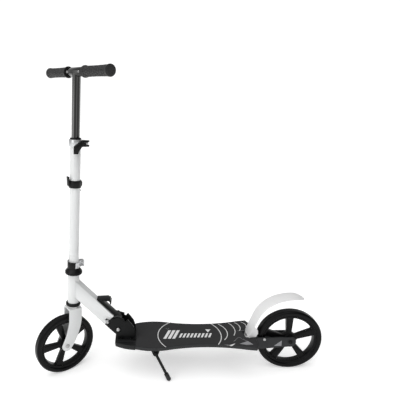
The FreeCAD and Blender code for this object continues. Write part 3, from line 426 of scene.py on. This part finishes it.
def strip(name, path, width, look):
    """A printed line of even width on the deck along a path."""
    corners = []
    for index, (x, y) in enumerate(path):
        before = path[max(index - 1, 0)]
        after = path[min(index + 1, len(path) - 1)]
        way = Vector((after[0] - before[0], after[1] - before[1])).normalized()
        side = Vector((-way.y, way.x)) * width / 2
        corners += [(x + side.x, y + side.y), (x - side.x, y - side.y)]
    faces = [(2 * i, 2 * i + 1, 2 * i + 3, 2 * i + 2) for i in range(len(path) - 1)]
    flat_print(name, corners, faces, look)


def deck_print():
    """White line arcs across the deck, a slanted bar motif and faceted shapes at the rear."""
    arcs = [((-13, 70), (-61, -6), (-39, -72), 2.4), ((117, 58), (139, -7), (121, -61), 2.4),
            ((141, 54), (161, 6), (144, -37), 2.3), ((175, 61), (188, 25), (178, -13), 2.1),
            ((196, 63), (208, 38), (201, 13), 1.9), ((217, 66), (229, 50), (228, 36), 1.7)]
    for index, (first, middle, last, width) in enumerate(arcs):
        strip(f"deck_arc_{index}", through(first, middle, last), width, "white_print")
    slant = 0.4
    bars = [(-34 + 14 * step, 9.5, -28, 20) for step in range(3)]
    bars += [(13 + 11.5 * step, 6.5, -22, 1) for step in range(9)]
    for index, (x, width, low, high) in enumerate(bars):
        corners = [(x + slant * low, low), (x + width + slant * low, low),
                   (x + width + slant * high, high), (x + slant * high, high)]
        flat_print(f"deck_bar_{index}", corners, [(0, 1, 2, 3)], "white_print")
    shapes = {
        "deck_mark": ([(94, 23), (111, 23), (100, 6)], "white_print"),
        "deck_facet_a": ([(138, -62), (152, -68), (166, -57), (158, -63)], "grey_print"),
        "deck_facet_b": ([(146, -66), (160, -70), (174, -56), (160, -62)], "white_print"),
        "deck_facet_c": ([(186, -58), (214, -44), (226, -62), (206, -64)], "grey_print"),
    }
    for name, (corners, look) in shapes.items():
        flat_print(name, corners, [tuple(range(len(corners)))], look)
    lines = ([(171, -46), (191, -22), (213, -46)], [(-34, 32), (-27, 26), (-23, 32)],
             [(196, 14), (236, 20), (240, 8)])
    for index, path in enumerate(lines):
        strip(f"deck_line_{index}", path, 1.2, "grey_print")


def plate_print():
    """Pale triangles on both rear plates."""
    for name, sign in (("left", -1), ("right", 1)):
        y = sign * REAR_PLATE_FACE
        corners = [(-50, 87), (-27, 87), (-27, 106)]
        points = [Vector((x + REAR_AXLE_X, y, z)) * MM for x, z in corners]
        order = (0, 1, 2) if sign < 0 else (2, 1, 0)
        mesh = bpy.data.meshes.new(f"plate_mark_{name}")
        mesh.from_pydata(points, [], [order])
        piece(f"plate_mark_{name}", mesh, "deck_frame", "white_plastic", look="grey_print")


def weld_path():
    """Points where the sides of the down tube meet the round head tube."""
    half_y, half_x = 17.0, 21.0
    per_side = 14
    ring = [(-half_x, -half_y), (half_x, -half_y), (half_x, half_y), (-half_x, half_y)]
    to_head = HEAD.inverted() @ DOWN_TUBE
    way = (to_head.to_3x3() @ Vector((0, 0, 1))).normalized()
    path = []
    for index, (x, y) in enumerate(ring):
        next_x, next_y = ring[(index + 1) % 4]
        for step in range(per_side):
            part = step / per_side
            spot = Vector((x + (next_x - x) * part, y + (next_y - y) * part, 0))
            start = to_head @ (spot * MM)
            a = way.x ** 2 + way.y ** 2
            b = 2 * (start.x * way.x + start.y * way.y)
            c = start.x ** 2 + start.y ** 2 - (HEAD_TUBE_RADIUS * MM) ** 2
            reach = (-b - math.sqrt(max(0.0, b * b - 4 * a * c))) / (2 * a)
            path.append(HEAD @ (start + way * reach))
    return path


def weld_bead():
    """The weld round the down tube where it meets the head tube."""
    sides = 10
    path = weld_path()
    count = len(path)
    rows = []
    for index, point in enumerate(path):
        way = (path[(index + 1) % count] - path[index - 1]).normalized()
        side = way.orthogonal().normalized()
        third = way.cross(side)
        reach = (1.5 + 0.15 * math.sin(index * 2.1)) * MM
        turns = [2 * math.pi * step / sides for step in range(sides)]
        rows.append([point + (side * math.cos(turn) + third * math.sin(turn)) * reach
                     for turn in turns])
    for index in range(1, count):
        shift = min(range(sides), key=lambda k: (rows[index][k] - rows[index - 1][0]).length)
        rows[index] = rows[index][shift:] + rows[index][:shift]
    piece("weld_bead", grid_mesh("weld_bead", rows), "front_frame", "white_paint", angle=80)


def deck_ribs():
    """Two fine raised ribs along each edge of the deck."""
    side = [(-484, 68), (-376, 71, 8), (-158, 71, -12)]
    path = [side[0]]
    for start, (x1, y1, rise) in zip(side, side[1:]):
        x0, y0 = start[:2]
        middle = ((x0 + x1) / 2, (y0 + y1) / 2 + rise)
        path += through((x0, y0), middle, (x1, y1), 40)[1:]
    root, crest, bevel = -0.4, 0.25, 0.25
    for sign in (-1, 1):
        for low, high in ((109.6, 110.4), (114.2, 115.0)):
            section = ((root, low), (crest, low + bevel), (crest, high - bevel), (root, high))
            points = [Vector((x + REAR_AXLE_X, sign * (y + out), z)) * MM
                      for x, y in path for out, z in section]
            count = len(section)
            faces = []
            for i in range(len(path) - 1):
                for j in range(count - 1):
                    a = i * count + j
                    across, along = a + 1, a + count
                    faces.append((a, across, along + 1, along) if sign < 0
                                 else (along, along + 1, across, a))
            mesh = bpy.data.meshes.new("deck_rib")
            mesh.from_pydata(points, [], faces)
            piece(f"deck_rib_{sign}_{int(low)}", mesh, "deck_frame", "deck_metal", angle=60)


# How far the sharp edges of each CAD node are rounded, in millimetres; the others stay sharp.
SOFT_WIDTHS = {
    "deck": 1.2, "deck_nose": 1.0, "fold_plate_left": 0.7, "fold_plate_right": 0.7,
    "rear_plate_left": 0.7, "rear_plate_right": 0.7, "fender_brake": 0.9, "fold_lever": 1.0,
    "fork": 0.6, "down_tube": 1.6, "rear_rim": 1.0, "front_rim": 1.0, "kickstand_bracket": 0.7,
    "clamp_lever": 1.0, "storage_clip": 0.8, "upper_clamp": 0.7, "lower_clamp": 0.7,
    "top_cover": 0.6, "upper_cup": 0.7, "lower_cup": 0.6, "crown_race": 0.4, "grip_tape": 0.2,
    "column_bushing": 0.4, "t_stem": 0.5, "clamp_guard": 0.4, "kickstand_foot": 0.5,
    "kickstand_leg": 0.5, "head_tube": 0.4, "column_tube": 0.3, "front_axle_nut": 0.4,
    "rear_axle_nut": 0.4, "lock_nuts": 0.3, "fold_pivot_pin": 0.3, "deck_screws": 0.2,
    "upper_clamp_bolt": 0.3, "lower_clamp_bolts": 0.2, "front_axle_bolt": 0.3,
    "rear_axle_bolt": 0.3,
}
MADE_ANEW = ("rear_tyre", "front_tyre", "grip_left", "grip_right")

for name in frame["nodes"]:
    if name not in MADE_ANEW:
        softened(name, SOFT_WIDTHS.get(name, 0))
tyres()
grips()
deck_print()
plate_print()
weld_bead()
deck_ribs()

# ---- stage -------------------------------------------------------------------------------------

FLOOR_REACH = 14.0
FLOOR_GLOW = 0.36
BACKDROP = 1.1
# The room grows darker towards this direction.
DARK_WAY = (0.85, -0.5, -0.15)
ROOM_BRIGHT, ROOM_DARK = 0.5, 0.08
DARK_START, DARK_END = 0.1, 0.75
LIGHTS_TARGET = Vector((-0.1, 0, 0.4))
SUN_SPOT, SUN_POWER, SUN_ANGLE = (-0.5, -0.9, 2.6), 1.5, math.radians(75)
KEY_SPOT, KEY_POWER, KEY_SIZE = (-2.4, -2.4, 1.8), 22, 1.8


def floor():
    """A plain pale floor that glows a little, as under a diffuse studio ceiling."""
    mesh = bpy.data.meshes.new("floor")
    far = FLOOR_REACH
    mesh.from_pydata([(-far, -far, 0), (far, -far, 0), (far, far, 0), (-far, far, 0)], [],
                     [(0, 1, 2, 3)])
    made = bpy.data.objects.new("floor", mesh)
    paper = material("floor", (0.93, 0.93, 0.93), 0.9, grain=(8, 0.0), mottle=0.004, specular=0)
    shader = paper.node_tree.nodes["Principled BSDF"]
    shader.inputs["Emission Color"].default_value = (1, 1, 1, 1)
    shader.inputs["Emission Strength"].default_value = FLOOR_GLOW
    mesh.materials.append(paper)
    bpy.context.scene.collection.objects.link(made)


def room():
    """A white backdrop, and a room that lights the object more from one side."""
    world = bpy.data.worlds.new("studio")
    world.use_nodes = True
    tree = world.node_tree
    walls = tree.nodes["Background"]
    walls.inputs["Color"].default_value = (1, 1, 1, 1)
    backdrop = tree.nodes.new("ShaderNodeBackground")
    backdrop.inputs["Color"].default_value = (1, 1, 1, 1)
    backdrop.inputs["Strength"].default_value = BACKDROP
    way = along_way(tree, "Generated", DARK_WAY)
    spread = tree.nodes.new("ShaderNodeMapRange")
    spread.inputs["From Min"].default_value = DARK_START
    spread.inputs["From Max"].default_value = DARK_END
    spread.inputs["To Min"].default_value = ROOM_BRIGHT
    spread.inputs["To Max"].default_value = ROOM_DARK
    tree.links.new(way.outputs["Value"], spread.inputs["Value"])
    tree.links.new(spread.outputs["Result"], walls.inputs["Strength"])
    path = tree.nodes.new("ShaderNodeLightPath")
    choose = tree.nodes.new("ShaderNodeMixShader")
    tree.links.new(path.outputs["Is Camera Ray"], choose.inputs["Fac"])
    tree.links.new(walls.outputs["Background"], choose.inputs[1])
    tree.links.new(backdrop.outputs["Background"], choose.inputs[2])
    tree.links.new(choose.outputs["Shader"], tree.nodes["World Output"].inputs["Surface"])
    bpy.context.scene.world = world
    bpy.context.scene.view_settings.view_transform = "Standard"


def aimed_light(name, data, power, spot):
    """Places a light that points at the middle of the scooter."""
    data.energy = power
    light = bpy.data.objects.new(name, data)
    light.location = spot
    light.rotation_euler = (LIGHTS_TARGET - Vector(spot)).to_track_quat("-Z", "Y").to_euler()
    bpy.context.scene.collection.objects.link(light)


def lights():
    """A very wide soft sun above and a square key light on the left."""
    sun = bpy.data.lights.new("top", "SUN")
    sun.angle = SUN_ANGLE
    aimed_light("top", sun, SUN_POWER, SUN_SPOT)
    key = bpy.data.lights.new("key", "AREA")
    key.shape = "SQUARE"
    key.size = KEY_SIZE
    aimed_light("key", key, KEY_POWER, KEY_SPOT)


def camera():
    """The camera: its place in metres, its turns in degrees, its lens and shift."""
    spot = (-0.4456 + REAR_AXLE_X * MM, -1.1811, 0.8696)
    yaw, pitch, roll = (math.radians(turn) for turn in (-4.1116, 14.7155, -2.8263))
    ahead = Vector((math.sin(yaw) * math.cos(pitch), math.cos(yaw) * math.cos(pitch),
                    -math.sin(pitch)))
    level = ahead.cross(Vector((0, 0, 1))).normalized()
    rise = level.cross(ahead)
    right = math.cos(roll) * level + math.sin(roll) * rise
    up = -math.sin(roll) * level + math.cos(roll) * rise
    data = bpy.data.cameras.new("camera")
    data.sensor_width = 36
    data.lens = 36.888
    data.shift_x = 0.2128
    data.shift_y = 0.0097
    made = bpy.data.objects.new("camera", data)
    turned = Matrix((right, up, -ahead)).transposed().to_4x4()
    made.matrix_world = Matrix.Translation(spot) @ turned
    bpy.context.scene.collection.objects.link(made)
    bpy.context.scene.camera = made


floor()
room()
lights()
camera()
